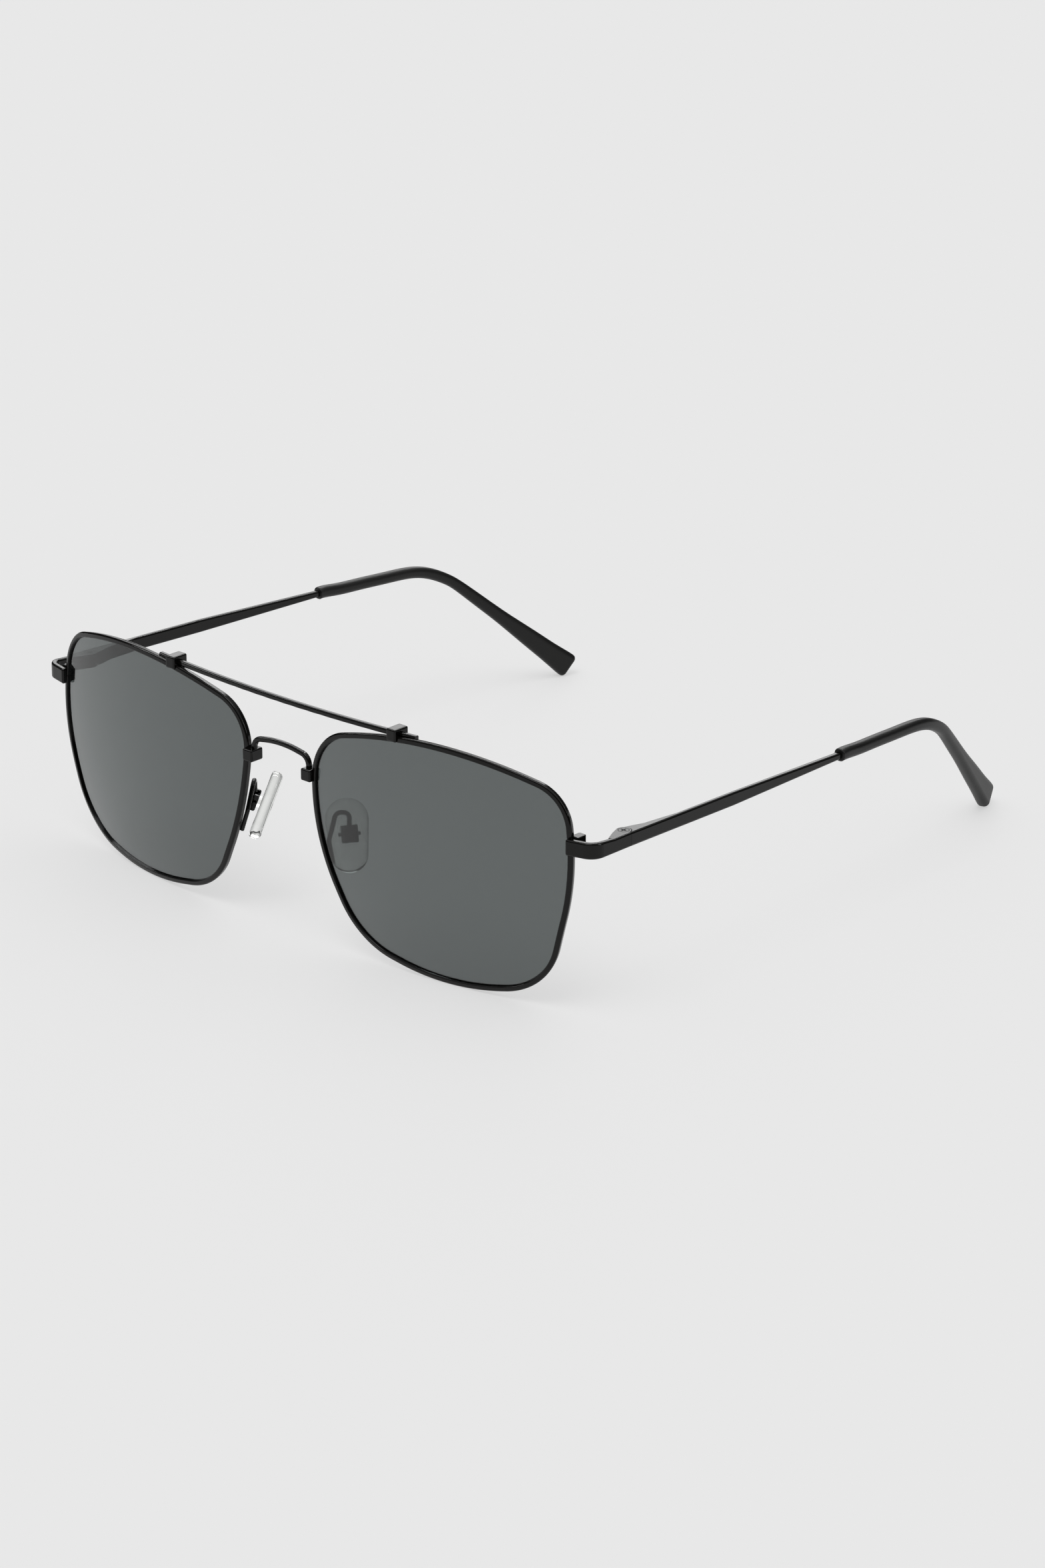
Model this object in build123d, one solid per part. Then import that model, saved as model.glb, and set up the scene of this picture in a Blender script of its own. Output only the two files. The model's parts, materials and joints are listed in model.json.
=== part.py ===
"""Metal navigator sunglasses with a double bridge, folding temples and rocking nose pads.

Frame: +X is the wearer's left, the lenses face -Y, +Z is up. The glasses stand open on
the bottoms of the rims and on the ends of the temple tips. The geometry is laid out with
y = 0 at the front of the lens rims and moved by FRONT_Y when it is written, so that the
origin is the bottom centre of the whole object. Every size is in millimetres.
"""
from build123d import *
import os

# ---- driving dimensions -------------------------------------------------------------
FRONT_Y = -69.64           # from the layout's y = 0 to the written origin

# eye shape on the plane that touches the rim's front at the eye's centre: corner
# (across, up) from that centre, and the radius that rounds it
EYE_OUTLINE = [
    (2.30, -24.975, 62.0),   # bottom, crowned
    (23.45, -21.10, 14.8),   # bottom outer corner
    (29.95, 2.80, 46.0),     # outer side, crowned
    (28.20, 18.85, 9.4),     # top outer corner
    (-0.50, 25.55, 90.0),    # brow line, crowned
    (-31.05, 18.15, 10.2),   # top inner corner
    (-29.40, -1.50, 52.0),   # bend of the nose side
    (-19.60, -20.95, 16.2),  # bottom inner corner
]
EYE_X, EYE_Z = 37.38, 23.20   # the eye's centre
BASE_RADIUS = 105.0           # radius of the rim's front surface
WRAP = 0.132                  # slope of the front towards the temple
TILT = 0.0335                 # slope of the front towards the brow

RIM_WIDTH = 1.12
RIM_DEPTH = 1.4
RIM_OUTER_EDGE = 0.35         # rounding of the rim's outer edges
RIM_INNER_EDGE = 0.18         # rounding of its inner edges
LENS_RECESS = 0.42            # lens front behind the rim front
LENS_THICKNESS = 0.78
GROOVE = 0.5                  # how far the lens edge sits in the rim
RIM_SLIT = 0.12               # gap where the rim is closed by its screw
CONE_FRONT, CONE_BACK = 8.0, 20.0   # how far the eye's cone reaches past its plane
SLIT_X = (57.0, 69.0)         # the slit cuts only the outer side of the rim
SLIT_Y = (4.0, 12.0)

BAR_SIZE = 1.05
BAR_HALF_LENGTH = 32.4
BAR_BOW_RADIUS = 267.0
BAR_Y, BAR_Z = 0.45, 45.45      # centre of the brow bar at the middle
BAR_CORNER = 0.35             # rounding of the bar's and the bridge wire's edges
BAR_FOOT = 1.1                # width of the foot under each end of the bar
FOOT_DROP = 0.25              # the foot's bottom below the bar
CLIP_X = (26.90, 29.15)
CLIP_Y = (0.25, 3.75)
CLIP_Z = (44.28, 46.65)
CLIP_FRONT = 2.4              # depth of the clip's full-height front part
CLIP_STEP = 0.2               # its rear part hangs this far below the bar

BLOCK_X = (6.22, 8.60)
BLOCK_Y = (-0.60, 2.45)
BLOCK_Z = (31.67, 34.00)
WIRE_SIZE = 1.0               # bridge wire
WIRE_X, WIRE_Y = 6.95, 1.0
WIRE_SHOULDER_Z = 35.85
WIRE_TOP_Z = 37.10
WIRE_BENDS = [2.0, 24.0, 2.0]
EDGE = 0.35                   # rounding of the clips' and blocks' edges

STRAP_X = 69.70               # outer face of the endpiece and the temple
STRAP_THICKNESS = 1.20
STRAP_START = (63.85, 6.22)   # lens-side end of the front plate, outer face
STRAP_CORNER_Y = 7.70
STRAP_BEND = 3.0
STRAP_EDGE = 0.4              # rounding of the strap's long edges
STRAP_INNER_CORNER = (-0.3, 0.05)   # the inner line's corner and end, from an even thickness
STRAP_Z = (30.75, 33.75)      # bottom and top at the front plate
STRAP_HINGE_TOP = 33.40       # top at the hinge
STRAP_DROP_Y = (9.0, 13.0)    # where the top drops from one height to the other

HINGE_X, HINGE_Y = 67.82, 17.25
KNUCKLE_RADIUS = 1.35
KNUCKLE_GAP = 0.16            # round the knuckle
KNUCKLE_PLAY = 0.05           # above and below the centre knuckle, and at the butt faces
KNUCKLE_THICKNESS = 0.85      # each outer knuckle
# plans of the webs beside the knuckles, from the hinge centre
ENDPIECE_WEB = [(-1.23, -0.5), (-0.55, -2.3), (0.58, -4.6), (1.15, -4.2), (1.15, 0.0)]
TEMPLE_WEB = [(-0.95, 0.9), (-0.75, 2.2), (0.1, 5.2), (0.35, 9.0), (0.75, 14.0), (0.9, 14.0),
              (1.3, 0), (0, 0)]
TONGUE_ROOT = ((-0.9, 1.2), (0.4, 1.8))   # x and y of the tongue's root, from the centre
SCREW_RADIUS = 0.50
SCREW_HEAD_RADIUS = 0.95
SCREW_HEAD_HEIGHT = 0.45
SCREW_HEAD_GAP = 0.10         # round the head, in its recess
CROSS_HALF = (0.62, 0.13)     # half length and half width of each arm of the cross recess
CROSS_DEPTH = 0.38
RUNNING_CLEARANCE = 0.05

LOCK_X = (63.80, 65.60)       # closing block behind the rim
LOCK_Y = (7.90, 10.25)
LOCK_Z = (30.75, 34.00)
LOCK_SPLIT_Z = 32.30
LOCK_SCREW_X, LOCK_SCREW_Y = 64.70, 9.60
LOCK_SCREW_RADIUS = 0.38
LOCK_HEAD_RADIUS = 0.55
LOCK_HEAD_HEIGHT = 0.5
LOCK_SCREW_TOP = 33.50
LOCK_CORNER = 0.5             # rounding of the block's rear corners
LOCK_EDGE = 0.2               # rounding of its top and bottom edges
SLOT_WIDTH, SLOT_DEPTH = 0.2, 0.2

TEMPLE_THICKNESS = 1.05
TEMPLE_Z = 32.07              # centre line at the hinge
TEMPLE_HEIGHT = 2.65
TEMPLE_EDGE = 0.4             # rounding of its long edges
TAPER_START_Y = 46.0
TAPER_START_IN = 0.9          # how far the bar has come inwards there
TAPER_START_HEIGHT = 2.55
SLEEVE_START = (66.90, 77.5, 30.15)
SLEEVE_BEND = (64.70, 108.4, 28.60)
SLEEVE_END = (54.66, 138.46, 1.63)
SLEEVE_BEND_RADIUS = 24.0
CORE_RADIUS = 0.62
CORE_END_MARGIN = 0.12        # share of the sleeve left solid past the core wire
SLEEVE_ROUNDING = 0.42        # corner radius as a share of the smaller side
SLEEVE_START_EDGE, SLEEVE_END_EDGE = 0.3, 0.7   # rounding of its two ends
SLEEVE_SPANS = 14             # sections are this many spans apart along the sleeve
# share of the sleeve's length, thickness, height
SLEEVE_SIZES = [(0.0, 2.3, 2.4), (0.5, 2.4, 2.25), (0.7, 2.4, 2.75), (1.0, 2.6, 5.0)]

PAD_CENTRE = (10.84, 7.12, 20.10)
PAD_NORMAL = (-0.750, 0.562, -0.349)    # towards the nose
PAD_ACROSS = (-0.593, -0.805, -0.0235)
PAD_LENGTH = 13.6
PAD_TOP_RADIUS, PAD_LOW_RADIUS = 3.9, 3.3
PAD_FACES = (-0.9, 1.35)      # back and nose faces, from the pad's centre
PAD_BACK_EDGE, PAD_NOSE_EDGE = 0.6, 1.1   # rounding of the two
PAD_PIVOT = (0.3, -1.95)      # along the pad and away from the nose, from the pad's centre
TAB = (1.7, 1.5, 0.3)         # width, height, depth past the pivot
CHEEK = 0.45                  # side walls of the pad box
PAD_BOX = (3.0, 3.2)          # width, height
PAD_BOX_Z = (-2.80, -1.45)
PAD_BOX_BACK = 0.40
PAD_BOX_EDGE = 0.4
PAD_SCREW_RADIUS = 0.35
PAD_SCREW_PAST = 0.5          # the screw's ends past the box
ARM_RADIUS = 0.43
# wire path of the pad arm from the rim to above the pad box, and its bend radii
ARM_PATH = [(11.95, 2.20, 16.4), (10.65, 2.45, 20.3), (10.75, 4.20, 25.3), (12.30, 6.10, 25.3)]
ARM_BENDS = [2.0, 1.15, 1.15]


# ---- helpers ------------------------------------------------------------------------
def block(xs, ys, zs):
    """A box between pairs of x, y and z."""
    size = [b - a for a, b in (xs, ys, zs)]
    middle = [(a + b) / 2 for a, b in (xs, ys, zs)]
    return Pos(*middle) * Box(*size)


def upright(x, y, z0, z1, radius):
    """A vertical cylinder."""
    return Pos(x, y, (z0 + z1) / 2) * Cylinder(radius, z1 - z0)


def save(name, shape):
    """Write one node, moved to the object's own origin."""
    export_step(Pos(0, FRONT_Y, 0) * shape, f"parts/{name}.step")


def save_pair(name, shape):
    """Write a +X (left) node and its mirror image (right)."""
    save(f"{name}_left", shape)
    save(f"{name}_right", mirror(shape, about=Plane.YZ))


# ---- eye: rim and lens --------------------------------------------------------------
EYE_PLANE = Plane(origin=(EYE_X, 0, EYE_Z), x_dir=(1, WRAP, 0), z_dir=(WRAP, -1, -TILT))
BASE_CENTRE = EYE_PLANE.from_local_coords(Vector(0, 0, -BASE_RADIUS))

corners = [(across, up) for across, up, _ in EYE_OUTLINE]
radii = [r for _, _, r in EYE_OUTLINE]
eye_wire = FilletPolyline(*corners, radius=radii, close=True)
eye_face = Face(Wire(eye_wire.edges()))


def eye_cone(inset):
    """The eye shape, inset, as a cone whose walls point at the base curve's centre."""
    face = offset(eye_face, amount=-inset) if inset else eye_face
    ends = []
    for height in (-CONE_BACK, CONE_FRONT):
        similar = scale(face, by=1 + height / BASE_RADIUS)
        ends.append(EYE_PLANE * Pos(0, 0, height) * similar)
    return loft(ends, ruled=True)


def base_shell(front, back):
    """The layer between two depths behind the rim's front surface."""
    ball = Pos(*BASE_CENTRE) * Sphere(BASE_RADIUS - front)
    core = Pos(*BASE_CENTRE) * Sphere(BASE_RADIUS - back)
    return ball - core


def on_a_ball(edge):
    """Whether an edge of the slab runs along its front or its back."""
    middle = (edge @ 0.5 - BASE_CENTRE).length
    return min(abs(middle - BASE_RADIUS), abs(middle - BASE_RADIUS + RIM_DEPTH)) < RIM_DEPTH / 10


def make_rim(slab, lens):
    hole = eye_cone(RIM_WIDTH)
    ring = slab - hole
    ring = fillet(new_edges(slab, hole, combined=ring), RIM_INNER_EDGE)
    slit = block(SLIT_X, SLIT_Y, (LOCK_SPLIT_Z - RIM_SLIT / 2, LOCK_SPLIT_Z + RIM_SLIT / 2))
    return ring - lens - slit


slab = eye_cone(0) & base_shell(0, RIM_DEPTH)
slab = fillet(slab.edges().filter_by(on_a_ball), RIM_OUTER_EDGE)
lens = eye_cone(RIM_WIDTH - GROOVE) & base_shell(LENS_RECESS, LENS_RECESS + LENS_THICKNESS)
rim = make_rim(slab, lens)


# ---- brow bar and its clips ---------------------------------------------------------
def make_brow_bar(rims):
    end_y = BAR_Y + BAR_HALF_LENGTH ** 2 / (2 * BAR_BOW_RADIUS)
    path = ThreePointArc((-BAR_HALF_LENGTH, end_y, BAR_Z), (0, BAR_Y, BAR_Z),
                         (BAR_HALF_LENGTH, end_y, BAR_Z))
    start = Plane(origin=path @ 0, x_dir=(0, 0, 1), z_dir=path % 0)
    bar = sweep(start * RectangleRounded(BAR_SIZE, BAR_SIZE, BAR_CORNER), path=path)
    half = BAR_FOOT / 2
    for side in (-1, 1):
        x = side * (BAR_HALF_LENGTH - half)
        bar += upright(x, end_y, BAR_Z - BAR_SIZE / 2 - FOOT_DROP, BAR_Z, half)
    return bar - rims


def make_brow_clip(bar):
    clip = block(CLIP_X, CLIP_Y, CLIP_Z)
    clip = fillet(clip.edges(), EDGE)
    through_x = (CLIP_X[0] - 1, CLIP_X[1] + 1)
    below = CLIP_Z[0] - 1
    front_end = CLIP_Y[0] + CLIP_FRONT
    rear_gap = block(through_x, (front_end, CLIP_Y[1] + 1),
                     (below, BAR_Z - BAR_SIZE / 2 - CLIP_STEP))
    mid_y = BAR_Y + CLIP_X[0] ** 2 / (2 * BAR_BOW_RADIUS)
    under_bar = block(through_x, (mid_y - BAR_SIZE / 2, front_end), (below, BAR_Z))
    return clip - rear_gap - under_bar - slab - bar


# ---- bridge -------------------------------------------------------------------------
def make_bridge_wire():
    foot_z = BLOCK_Z[1]
    path = FilletPolyline(
        (-WIRE_X, WIRE_Y, foot_z), (-WIRE_X, WIRE_Y, WIRE_SHOULDER_Z), (0, WIRE_Y, WIRE_TOP_Z),
        (WIRE_X, WIRE_Y, WIRE_SHOULDER_Z), (WIRE_X, WIRE_Y, foot_z),
        radius=WIRE_BENDS)
    start = Plane(origin=path @ 0, x_dir=(0, 1, 0), z_dir=path % 0)
    return sweep(start * RectangleRounded(WIRE_SIZE, WIRE_SIZE, BAR_CORNER), path=path)


def make_bridge_block():
    body = block(BLOCK_X, BLOCK_Y, BLOCK_Z)
    return fillet(body.edges(), EDGE) - slab


# ---- endpiece: front plate, strap and outer knuckles --------------------------------
def strap_plan():
    """Plan of the strap: outer line, then the same line moved inwards."""
    sx, sy = STRAP_START
    outer = FilletPolyline((sx, sy), (STRAP_X, STRAP_CORNER_Y), (STRAP_X, HINGE_Y),
                           radius=STRAP_BEND)
    inner_x = STRAP_X - STRAP_THICKNESS
    corner, end = (STRAP_THICKNESS + extra for extra in STRAP_INNER_CORNER)
    inner = FilletPolyline((inner_x, HINGE_Y), (inner_x, STRAP_CORNER_Y + corner),
                           (sx, sy + end), radius=STRAP_BEND - STRAP_THICKNESS)
    ends = [Line(outer @ 1, inner @ 0), Line(inner @ 1, outer @ 0)]
    return Face(Wire(outer.edges() + inner.edges() + ends))


def strap_side():
    """Side view of the strap: the top drops a little before the hinge."""
    low, high = STRAP_Z
    drop_start, drop_end = STRAP_DROP_Y
    past = HINGE_Y + 5
    points = [(0, low), (past, low), (past, STRAP_HINGE_TOP), (drop_end, STRAP_HINGE_TOP),
              (drop_start, high), (0, high)]
    profile = Plane.YZ * make_face(Polyline(*points, close=True))
    return extrude(profile, amount=STRAP_X + 5)


def make_endpiece():
    low, top = STRAP_Z[0], STRAP_HINGE_TOP
    strap = extrude(strap_plan(), amount=STRAP_Z[1] + 5) & strap_side()
    free = [e for e in strap.edges() if e.center().Y < HINGE_Y - STRAP_EDGE]
    strap = fillet(free, STRAP_EDGE)
    lobe = upright(HINGE_X, HINGE_Y, low, top, KNUCKLE_RADIUS)
    web = make_face(Polyline(*ENDPIECE_WEB, close=True))
    web = Pos(HINGE_X, HINGE_Y, low) * extrude(web, amount=top - low)
    body = strap + web + lobe
    slot_low = low + KNUCKLE_THICKNESS
    slot_high = top - KNUCKLE_THICKNESS
    body -= upright(HINGE_X, HINGE_Y, slot_low, slot_high, KNUCKLE_RADIUS + KNUCKLE_GAP)
    body -= upright(HINGE_X, HINGE_Y, low - 1, top + 1, SCREW_RADIUS)
    recess_radius = SCREW_HEAD_RADIUS + SCREW_HEAD_GAP
    body -= upright(HINGE_X, HINGE_Y, top - SCREW_HEAD_HEIGHT, top + 1, recess_radius)
    return body - slab


def make_hinge_screw():
    low, top = STRAP_Z[0], STRAP_HINGE_TOP
    shank = upright(HINGE_X, HINGE_Y, low, top - SCREW_HEAD_HEIGHT, SCREW_RADIUS)
    head = upright(HINGE_X, HINGE_Y, top - SCREW_HEAD_HEIGHT, top, SCREW_HEAD_RADIUS)
    screw = shank + head
    for half_x, half_y in (CROSS_HALF, CROSS_HALF[::-1]):
        arm = Box(2 * half_x, 2 * half_y, 2 * CROSS_DEPTH)
        screw -= Pos(HINGE_X, HINGE_Y, top) * arm
    return screw


# ---- rim lock: closing block in two halves, and its screw ---------------------------
def make_lock_half(zs, endpiece):
    whole = block(LOCK_X, LOCK_Y, LOCK_Z)
    whole = fillet(whole.edges().filter_by(Axis.Z).sort_by(Axis.Y)[-2:], LOCK_CORNER)
    ends = whole.faces().sort_by(Axis.Z)
    whole = fillet(ends[0].edges() + ends[-1].edges(), LOCK_EDGE)
    return (whole & block(LOCK_X, LOCK_Y, zs)) - slab - endpiece


def make_lock_parts(endpiece):
    gap = RIM_SLIT / 2
    low, high = LOCK_Z
    x, y = LOCK_SCREW_X, LOCK_SCREW_Y
    lower = make_lock_half((low, LOCK_SPLIT_Z - gap), endpiece)
    upper = make_lock_half((LOCK_SPLIT_Z + gap, high), endpiece)
    shank = upright(x, y, low, LOCK_SCREW_TOP, LOCK_SCREW_RADIUS)
    head = upright(x, y, low, low + LOCK_HEAD_HEIGHT, LOCK_HEAD_RADIUS)
    drive = Pos(x, y, low) * Box(4 * LOCK_HEAD_RADIUS, SLOT_WIDTH, 2 * SLOT_DEPTH)
    screw = shank + head
    return lower - screw, upper - screw, screw - drive


# ---- temple: bar, centre knuckle, core wire -----------------------------------------
def sleeve_path():
    return FilletPolyline(SLEEVE_START, SLEEVE_BEND, SLEEVE_END, radius=SLEEVE_BEND_RADIUS)


def section_plane(path, share):
    """A plane across the path: its X is level, its Y is the height."""
    along = path % share
    level = Vector(0, 0, 1).cross(along)
    return Plane(origin=path @ share, x_dir=level, z_dir=along)


def core_wire(path):
    """The wire inside the sleeve; the sleeve's end stays solid."""
    covered = path.trim(0, 1 - CORE_END_MARGIN)
    return sweep(section_plane(path, 0) * Circle(CORE_RADIUS), path=covered)


def temple_stations():
    """Centre, thickness and height of the temple at the hinge, the taper and the sleeve."""
    y0 = HINGE_Y + KNUCKLE_PLAY
    x0 = STRAP_X - TEMPLE_THICKNESS / 2
    end = Vector(*SLEEVE_START)
    fall = (TEMPLE_Z - end.Z) / (end.Y - y0)
    knee_z = TEMPLE_Z - fall * (TAPER_START_Y - y0)
    return [(x0, y0, TEMPLE_Z, TEMPLE_THICKNESS, TEMPLE_HEIGHT),
            (x0 - TAPER_START_IN, TAPER_START_Y, knee_z, TEMPLE_THICKNESS, TAPER_START_HEIGHT),
            (end.X, end.Y, end.Z, 2 * CORE_RADIUS, 2 * CORE_RADIUS)]


def temple_strap(stations):
    """Flat bar from the hinge, tapering to the core wire's size at the sleeve."""
    faces = []
    for x, y, z, thick, high in stations:
        plane = Plane(origin=(x, y, z), x_dir=(1, 0, 0), z_dir=(0, 1, 0))
        faces.append(plane * RectangleRounded(thick, high, TEMPLE_EDGE))
    return loft(faces, ruled=True)


def temple_side(stations):
    """Side view of the temple from the hinge to the taper."""
    tops = [(y, z + high / 2) for _, y, z, _, high in stations[:2]]
    bottoms = [(y, z - high / 2) for _, y, z, _, high in stations[:2]]
    profile = Plane.YZ * make_face(Polyline(*tops, *bottoms[::-1], close=True))
    return extrude(profile, amount=STRAP_X + 5)


def make_temple_bar(path):
    low, top = STRAP_Z[0], STRAP_HINGE_TOP
    x, y = HINGE_X, HINGE_Y
    stations = temple_stations()
    plate = make_face(Polyline(*TEMPLE_WEB, close=True))
    plate = Pos(x, y, low - 1) * extrude(plate, amount=top - low + 2)
    body = temple_strap(stations) + (plate & temple_side(stations))
    body -= upright(x, y, low - 1, top + 1, KNUCKLE_RADIUS + KNUCKLE_GAP)
    body -= block((x - 5, x + 5), (y - 5, y + KNUCKLE_PLAY), (low - 1, top + 1))
    tongue_z = (low + KNUCKLE_THICKNESS + KNUCKLE_PLAY, top - KNUCKLE_THICKNESS - KNUCKLE_PLAY)
    tongue = upright(0, 0, *tongue_z, KNUCKLE_RADIUS) + block(*TONGUE_ROOT, tongue_z)
    body += Pos(x, y, 0) * tongue
    body -= upright(x, y, low - 1, top + 1, SCREW_RADIUS + RUNNING_CLEARANCE)
    return body + core_wire(path)


def sleeve_size(share):
    """Thickness and height of the sleeve at a share of its length."""
    for (s0, *start), (s1, *end) in zip(SLEEVE_SIZES, SLEEVE_SIZES[1:]):
        if share <= s1:
            t = (share - s0) / (s1 - s0)
            return [a + (b - a) * t for a, b in zip(start, end)]


def make_temple_tip(path, bar):
    faces = []
    for step in range(SLEEVE_SPANS + 1):
        share = step / SLEEVE_SPANS
        thick, high = sleeve_size(share)
        corner = SLEEVE_ROUNDING * min(thick, high)
        faces.append(section_plane(path, share) * RectangleRounded(thick, high, corner))
    tip = loft(faces)
    tip = fillet(tip.faces().sort_by(Axis.Y)[0].edges(), SLEEVE_START_EDGE)
    tip = fillet(tip.faces().sort_by(Axis.Z)[0].edges(), SLEEVE_END_EDGE)
    return tip - bar


# ---- nose pads ----------------------------------------------------------------------
PAD_PLANE = Plane(origin=PAD_CENTRE, x_dir=PAD_ACROSS, z_dir=PAD_NORMAL)


def across_pin(radius, half):
    """A cylinder along the pad's width through its pivot."""
    along, out = PAD_PIVOT
    pin = Rot(0, 90, 0) * Cylinder(radius, 2 * half)
    return PAD_PLANE * Pos(0, along, out) * pin


def make_nose_pad():
    along, out = PAD_PIVOT
    low_y = -PAD_LENGTH / 2 + PAD_LOW_RADIUS
    top_y = PAD_LENGTH / 2 - PAD_TOP_RADIUS
    circles = [Pos(0, top_y) * Circle(PAD_TOP_RADIUS), Pos(0, low_y) * Circle(PAD_LOW_RADIUS)]
    outline = make_hull(circles[0].edges() + circles[1].edges())
    back, nose = PAD_FACES
    plate = Pos(0, 0, back) * extrude(outline, amount=nose - back)
    plate = fillet(plate.faces().sort_by(Axis.Z)[-1].edges(), PAD_NOSE_EDGE)
    plate = fillet(plate.faces().sort_by(Axis.Z)[0].edges(), PAD_BACK_EDGE)
    width, height, past = TAB
    tab = block((-width / 2, width / 2), (along - height / 2, along + height / 2), (out - past, 0))
    return PAD_PLANE * (plate + tab) - across_pin(PAD_SCREW_RADIUS + RUNNING_CLEARANCE, width)


def make_pad_box():
    along, _ = PAD_PIVOT
    width, height = PAD_BOX
    low, high = PAD_BOX_Z
    ys = (along - height / 2, along + height / 2)
    box = block((-width / 2, width / 2), ys, (low, high))
    box = fillet(box.edges().filter_by(Axis.X), PAD_BOX_EDGE)
    inside = width / 2 - CHEEK
    slot = block((-inside, inside), (ys[0] - 1, ys[1] + 1), (low + PAD_BOX_BACK, high + 1))
    return PAD_PLANE * (box - slot)


def make_pad_arm(box):
    along, _ = PAD_PIVOT
    end = PAD_PLANE.from_local_coords(
        Vector(0, along + PAD_BOX[1] / 2, PAD_BOX_Z[0] + PAD_BOX_BACK / 2))
    path = FilletPolyline(*ARM_PATH, tuple(end), radius=ARM_BENDS)
    start = Plane(origin=path @ 0, z_dir=path % 0)
    return sweep(start * Circle(ARM_RADIUS), path=path) - slab - box


# ---- assembly -----------------------------------------------------------------------
os.makedirs("parts", exist_ok=True)

rims = slab + mirror(slab, about=Plane.YZ)
brow_bar = make_brow_bar(rims)
save("brow_bar", brow_bar)
save("bridge_wire", make_bridge_wire())
save_pair("lens", lens)
save_pair("rim", rim)
save_pair("brow_clip", make_brow_clip(brow_bar))
save_pair("bridge_block", make_bridge_block())

endpiece = make_endpiece()
lock_lower, lock_upper, lock_screw = make_lock_parts(endpiece)
save_pair("endpiece", endpiece)
save_pair("rim_lock_lower", lock_lower)
save_pair("rim_lock_upper", lock_upper)
save_pair("rim_lock_screw", lock_screw)
save_pair("hinge_screw", make_hinge_screw())

path = sleeve_path()
temple_bar = make_temple_bar(path)
save_pair("temple_bar", temple_bar)
save_pair("temple_tip", make_temple_tip(path, temple_bar))

pad_box = make_pad_box() - across_pin(PAD_SCREW_RADIUS, PAD_BOX[0])
pad_screw = across_pin(PAD_SCREW_RADIUS, PAD_BOX[0] / 2 + PAD_SCREW_PAST)
save_pair("pad_box", pad_box)
save_pair("pad_arm", make_pad_arm(pad_box))
save_pair("pad_screw", pad_screw)
save_pair("nose_pad", make_nose_pad())
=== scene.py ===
"""The looks of the sunglasses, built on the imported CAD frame. Lengths are in metres."""
import json
import math

import bpy
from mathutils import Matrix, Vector

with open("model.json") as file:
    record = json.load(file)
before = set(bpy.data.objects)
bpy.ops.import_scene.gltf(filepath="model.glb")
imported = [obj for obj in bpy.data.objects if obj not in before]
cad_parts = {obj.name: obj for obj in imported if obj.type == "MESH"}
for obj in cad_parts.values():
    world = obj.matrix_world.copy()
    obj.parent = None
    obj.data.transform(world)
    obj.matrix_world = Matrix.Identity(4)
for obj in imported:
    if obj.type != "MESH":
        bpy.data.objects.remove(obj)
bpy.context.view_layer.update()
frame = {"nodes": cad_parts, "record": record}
nodes = frame["nodes"]

MM = 0.001

# camera, as the photograph's
CAMERA_AT = Vector((608.15, -665.86, 358.05)) * MM
CAMERA_AIM = Vector((3.80, -8.74, 12.77)) * MM
CAMERA_LENS = 116.2           # focal length and sensor width, both in millimetres
SENSOR_WIDTH = 36.0
CLIP_START, CLIP_END = 0.01, 50.0

FLOOR_HALF = 6.0
FLOOR_COLOR = (0.34, 0.34, 0.34)
FLOOR_GLOW = 0.535            # the floor is a lit table, so shadows on it are pale
FLOOR_VARIATION = 0.99        # the floor's darkest patches, as a share of its colour

# noise scales, in features per metre
FINE, BROAD = 900.0, 120.0    # lacquer
TOOTH, MOTTLE = 2600.0, 150.0   # sleeve
LENS_CLOUD, PAD_CLOUD, FLOOR_CLOUD = 25.0, 400.0, 3.0

LACQUER_BUMP = 0.003 * MM
SLEEVE_BUMP = 0.012 * MM
ROUGHNESS_VARIATION = 0.04    # either way, on the lacquer
LACQUER_DARK = 0.6            # the darkest lacquer, as a share of its tone

LENS_IOR, PAD_IOR = 1.5, 1.40

# which way each pad faces, towards the nose
PAD_NORMALS = {
    "nose_pad_left": Vector((-0.750, 0.562, -0.349)).normalized(),
    "nose_pad_right": Vector((0.750, 0.562, -0.349)).normalized(),
}

# the sky round the object, even but for patches:
# direction, cosine where the patch starts and where it is full, strength
SKY_BASE = 0.06
SKY_PATCHES = [
    ((0.0, 0.0, 1.0), 0.40, 0.80, 1.06),       # pale ceiling
    ((-0.63, 0.70, 0.40), 0.93, 0.98, 1.4),    # panel behind
]

# one soft lamp, high up and a little to the front
KEY_FROM = (0.10, -0.40, 1.0)
KEY_ANGLE = math.radians(30)
KEY_STRENGTH = 0.62

# softboxes that only show as highlights: direction, size across and up, strength
LAMP_DISTANCE = 1.6
LAMPS = [
    ((-0.63, 0.70, 0.40), 1.0, 0.36, 1.8),     # low behind
    ((-0.50, 0.56, 0.95), 1.2, 0.16, 14.0),    # high behind
    ((0.86, 0.30, 0.50), 0.16, 0.7, 10.0),     # right
    ((-0.85, -0.45, 0.60), 0.16, 0.7, 10.0),   # left
]


# ---- node helpers -------------------------------------------------------------------
def new_material(name):
    material = bpy.data.materials.new(name)
    material.use_nodes = True
    tree = material.node_tree
    tree.nodes.clear()
    shader = tree.nodes.new("ShaderNodeBsdfPrincipled")
    output = tree.nodes.new("ShaderNodeOutputMaterial")
    tree.links.new(shader.outputs["BSDF"], output.inputs["Surface"])
    return material, tree, shader


def noise(tree, scale, detail=3.0, rough=0.5):
    place = tree.nodes.new("ShaderNodeTexCoord")
    texture = tree.nodes.new("ShaderNodeTexNoise")
    texture.inputs["Scale"].default_value = scale
    texture.inputs["Detail"].default_value = detail
    texture.inputs["Roughness"].default_value = rough
    tree.links.new(place.outputs["Object"], texture.inputs["Vector"])
    return texture.outputs["Fac"]


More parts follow.
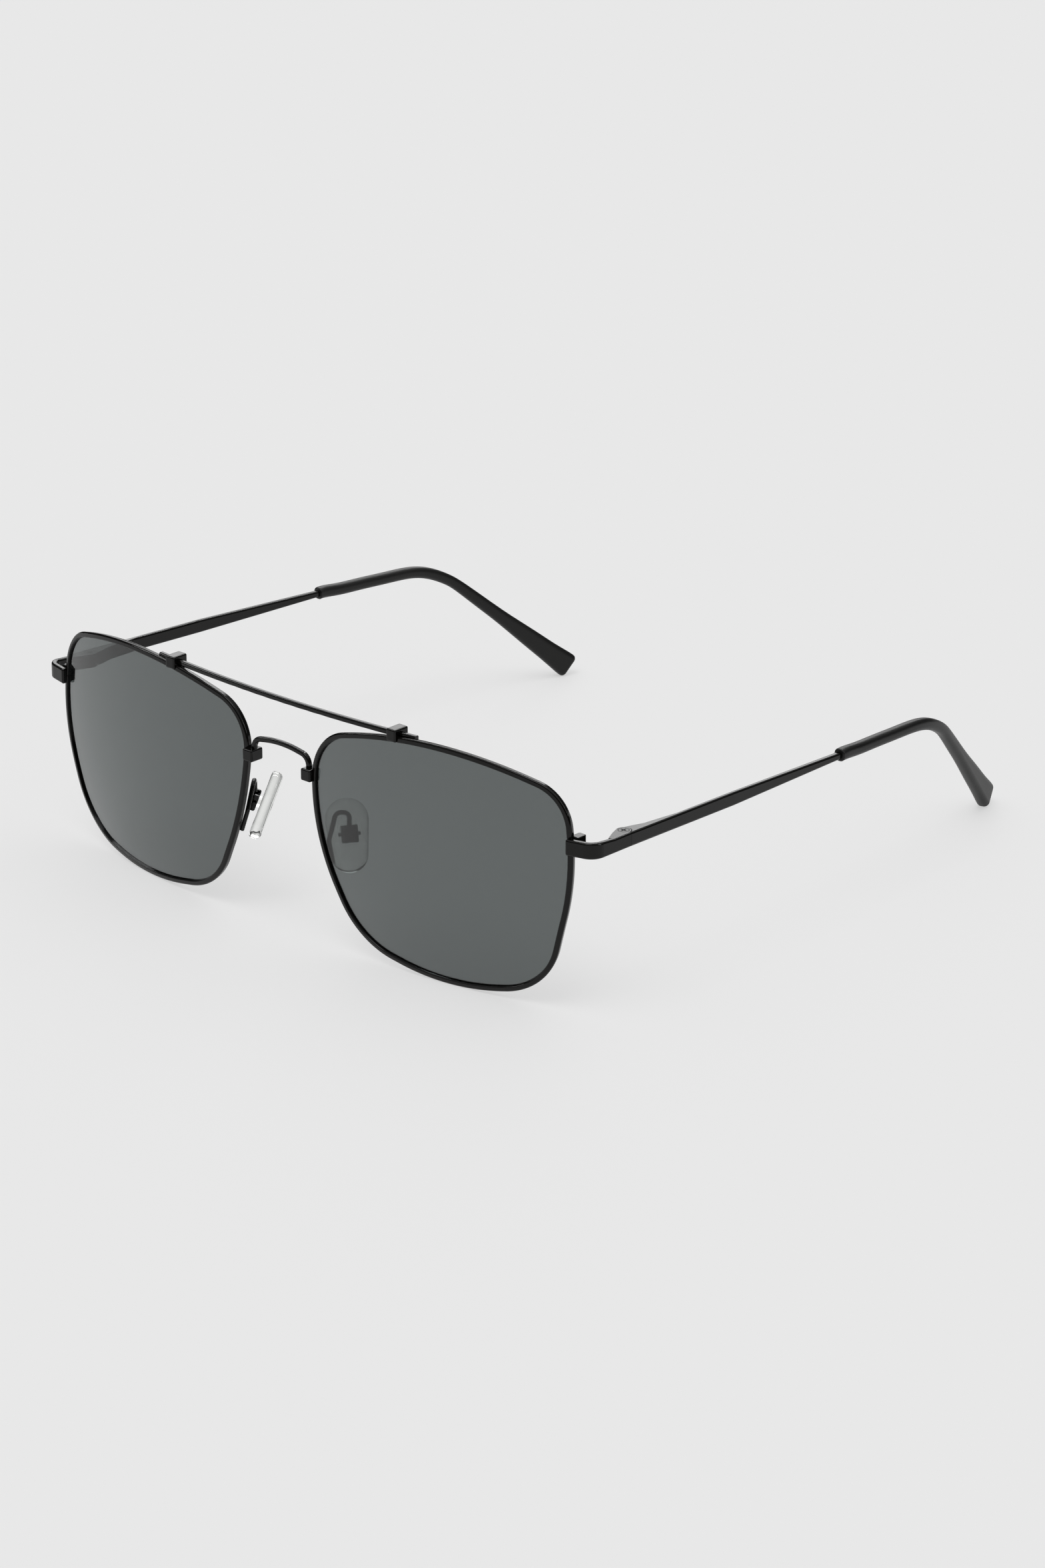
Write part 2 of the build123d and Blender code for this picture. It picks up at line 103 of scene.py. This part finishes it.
def spread(tree, value, low, high):
    """The value, 0 to 1, mapped onto low to high."""
    remap = tree.nodes.new("ShaderNodeMapRange")
    remap.inputs["To Min"].default_value = low
    remap.inputs["To Max"].default_value = high
    tree.links.new(value, remap.inputs["Value"])
    return remap.outputs["Result"]


def ramp(tree, value, dark, light):
    """A colour between two, by the value, 0 to 1."""
    mix = tree.nodes.new("ShaderNodeMix")
    mix.data_type = "RGBA"
    mix.inputs["A"].default_value = (*dark, 1)
    mix.inputs["B"].default_value = (*light, 1)
    tree.links.new(value, mix.inputs["Factor"])
    return mix.outputs["Result"]


def bump(tree, shader, height, distance):
    node = tree.nodes.new("ShaderNodeBump")
    node.inputs["Distance"].default_value = distance
    node.inputs["Strength"].default_value = 1.0
    tree.links.new(height, node.inputs["Height"])
    tree.links.new(node.outputs["Normal"], shader.inputs["Normal"])


def math_node(tree, operation, value, *numbers):
    """One Math node: the value first, then plain numbers."""
    node = tree.nodes.new("ShaderNodeMath")
    node.operation = operation
    for slot, number in enumerate(numbers, start=1):
        node.inputs[slot].default_value = number
    tree.links.new(value, node.inputs[0])
    return node.outputs["Value"]


def along(tree, vector, direction):
    """How far a vector points along a direction."""
    dot = tree.nodes.new("ShaderNodeVectorMath")
    dot.operation = "DOT_PRODUCT"
    dot.inputs[1].default_value = direction
    tree.links.new(vector, dot.inputs[0])
    return dot.outputs["Value"]


# ---- materials ----------------------------------------------------------------------
def black_lacquer(name, tone, rough, gloss):
    """Black lacquered metal with a faint orange peel."""
    material, tree, shader = new_material(name)
    fine = noise(tree, FINE)
    broad = noise(tree, BROAD)
    dark = tuple(LACQUER_DARK * c for c in tone)
    roughness = spread(tree, fine, rough - ROUGHNESS_VARIATION, rough + ROUGHNESS_VARIATION)
    tree.links.new(ramp(tree, broad, dark, tone), shader.inputs["Base Color"])
    tree.links.new(roughness, shader.inputs["Roughness"])
    shader.inputs["Specular IOR Level"].default_value = gloss
    bump(tree, shader, fine, LACQUER_BUMP)
    return material


def matte_sleeve():
    """Black moulded plastic with a fine tooth."""
    material, tree, shader = new_material("sleeve_black")
    fine = noise(tree, TOOTH, detail=4.0)
    broad = noise(tree, MOTTLE)
    color = ramp(tree, broad, (0.005, 0.005, 0.005), (0.009, 0.009, 0.008))
    tree.links.new(color, shader.inputs["Base Color"])
    tree.links.new(spread(tree, broad, 0.34, 0.42), shader.inputs["Roughness"])
    shader.inputs["Specular IOR Level"].default_value = 0.28
    bump(tree, shader, fine, SLEEVE_BUMP)
    return material


def tinted_lens():
    """Grey tinted plastic lens."""
    material, tree, shader = new_material("lens_tint")
    broad = noise(tree, LENS_CLOUD, detail=1.0)
    color = ramp(tree, broad, (0.112, 0.126, 0.125), (0.118, 0.132, 0.131))
    tree.links.new(color, shader.inputs["Base Color"])
    shader.inputs["Transmission Weight"].default_value = 1.0
    shader.inputs["Roughness"].default_value = 0.0
    shader.inputs["IOR"].default_value = LENS_IOR
    return material


def clear_pad(name, normal):
    """Clear soft plastic, slightly cloudy, with painted shade: greyer where its surface
    turns over, standing in for the darkening that refraction gives its rounded border.
    """
    material, tree, shader = new_material(name)
    cloud = noise(tree, PAD_CLOUD)
    place = tree.nodes.new("ShaderNodeTexCoord")
    facing = math_node(tree, "ABSOLUTE", along(tree, place.outputs["Normal"], normal))
    # 1 on the faces and on the sides, 0 where the border between them has turned 60
    # degrees; there the colour is greyed as painted shade
    plain = math_node(tree, "ABSOLUTE", math_node(tree, "MULTIPLY_ADD", facing, 2.0, -1.0))
    # painted shade: a grey colour for the turned-over border, where refraction darkens a
    # clear pad
    edge_painted_shade = ramp(tree, cloud, (0.50, 0.51, 0.50), (0.54, 0.55, 0.54))
    face = ramp(tree, cloud, (0.91, 0.92, 0.90), (0.94, 0.945, 0.93))
    blend = tree.nodes.new("ShaderNodeMix")
    blend.data_type = "RGBA"
    tree.links.new(plain, blend.inputs["Factor"])
    tree.links.new(edge_painted_shade, blend.inputs["A"])
    tree.links.new(face, blend.inputs["B"])
    tree.links.new(blend.outputs["Result"], shader.inputs["Base Color"])
    tree.links.new(spread(tree, cloud, 0.0, 0.03), shader.inputs["Roughness"])
    shader.inputs["Transmission Weight"].default_value = 1.0
    shader.inputs["IOR"].default_value = PAD_IOR
    return material


def floor_paint():
    """Pale matt paint that gives off some light of its own."""
    material, tree, shader = new_material("floor_paint")
    broad = noise(tree, FLOOR_CLOUD)
    dark = tuple(FLOOR_VARIATION * c for c in FLOOR_COLOR)
    tree.links.new(ramp(tree, broad, dark, FLOOR_COLOR), shader.inputs["Base Color"])
    shader.inputs["Roughness"].default_value = 1.0
    shader.inputs["Specular IOR Level"].default_value = 0.0
    shader.inputs["Emission Color"].default_value = (1.0, 1.0, 1.0, 1.0)
    shader.inputs["Emission Strength"].default_value = FLOOR_GLOW
    return material


SLOT_MATERIALS = {
    "frame_black": black_lacquer("frame_black", (0.0035, 0.0033, 0.0028), 0.13, 0.25),
    "screw_black": black_lacquer("screw_black", (0.005, 0.005, 0.005), 0.20, 0.25),
    "lens_tint": tinted_lens(),
    "sleeve_black": matte_sleeve(),
}


def material_of(subpart):
    """The pads have a material each, because each faces its own way."""
    name = subpart["node"]
    if name in PAD_NORMALS:
        return clear_pad(name + "_clear", PAD_NORMALS[name])
    return SLOT_MATERIALS[subpart["material_slot"]]


for subpart in frame["record"]["subparts"]:
    mesh = nodes[subpart["node"]].data
    mesh.materials.clear()
    mesh.materials.append(material_of(subpart))


# ---- studio -------------------------------------------------------------------------
def add_object(name, data):
    obj = bpy.data.objects.new(name, data)
    bpy.context.scene.collection.objects.link(obj)
    return obj


def make_floor():
    mesh = bpy.data.meshes.new("floor")
    h = FLOOR_HALF
    mesh.from_pydata([(-h, -h, 0), (h, -h, 0), (h, h, 0), (-h, h, 0)], [], [(0, 1, 2, 3)])
    mesh.materials.append(floor_paint())
    add_object("floor", mesh)


def make_sky():
    """A dim studio with a pale ceiling and one bright panel."""
    world = bpy.data.worlds.new("studio")
    world.use_nodes = True
    tree = world.node_tree
    tree.nodes.clear()
    place = tree.nodes.new("ShaderNodeTexCoord")
    total = None
    for direction, start, full, strength in SKY_PATCHES:
        toward = along(tree, place.outputs["Generated"], Vector(direction).normalized())
        patch = tree.nodes.new("ShaderNodeMapRange")
        patch.interpolation_type = "SMOOTHSTEP"
        patch.inputs["From Min"].default_value = start
        patch.inputs["From Max"].default_value = full
        patch.inputs["To Max"].default_value = strength
        tree.links.new(toward, patch.inputs["Value"])
        add = tree.nodes.new("ShaderNodeMath")
        add.inputs[0].default_value = SKY_BASE
        if total is not None:
            tree.links.new(total, add.inputs[0])
        tree.links.new(patch.outputs["Result"], add.inputs[1])
        total = add.outputs["Value"]
    background = tree.nodes.new("ShaderNodeBackground")
    tree.links.new(total, background.inputs["Strength"])
    output = tree.nodes.new("ShaderNodeOutputWorld")
    tree.links.new(background.outputs["Background"], output.inputs["Surface"])
    bpy.context.scene.world = world


def make_key():
    data = bpy.data.lights.new("key", "SUN")
    data.angle = KEY_ANGLE
    data.energy = KEY_STRENGTH
    lamp = add_object("key", data)
    lamp.rotation_euler = Vector(KEY_FROM).to_track_quat("Z", "Y").to_euler()


def make_lamps():
    for number, (direction, across, up, strength) in enumerate(LAMPS):
        name = f"softbox_{number}"
        data = bpy.data.lights.new(name, "AREA")
        data.shape = "RECTANGLE"
        data.size = across
        data.size_y = up
        data.energy = strength * across * up * math.pi
        lamp = add_object(name, data)
        aim = Vector(direction).normalized()
        lamp.location = aim * LAMP_DISTANCE
        lamp.rotation_euler = aim.to_track_quat("Z", "Y").to_euler()
        lamp.visible_diffuse = False
        lamp.visible_camera = False


def make_camera():
    data = bpy.data.cameras.new("camera")
    data.sensor_width = SENSOR_WIDTH
    data.lens = CAMERA_LENS
    data.clip_start = CLIP_START
    data.clip_end = CLIP_END
    camera = add_object("camera", data)
    camera.location = CAMERA_AT
    camera.rotation_euler = (CAMERA_AIM - CAMERA_AT).to_track_quat("-Z", "Y").to_euler()
    bpy.context.scene.camera = camera


make_floor()
make_sky()
make_key()
make_lamps()
make_camera()
bpy.context.scene.view_settings.view_transform = "Standard"
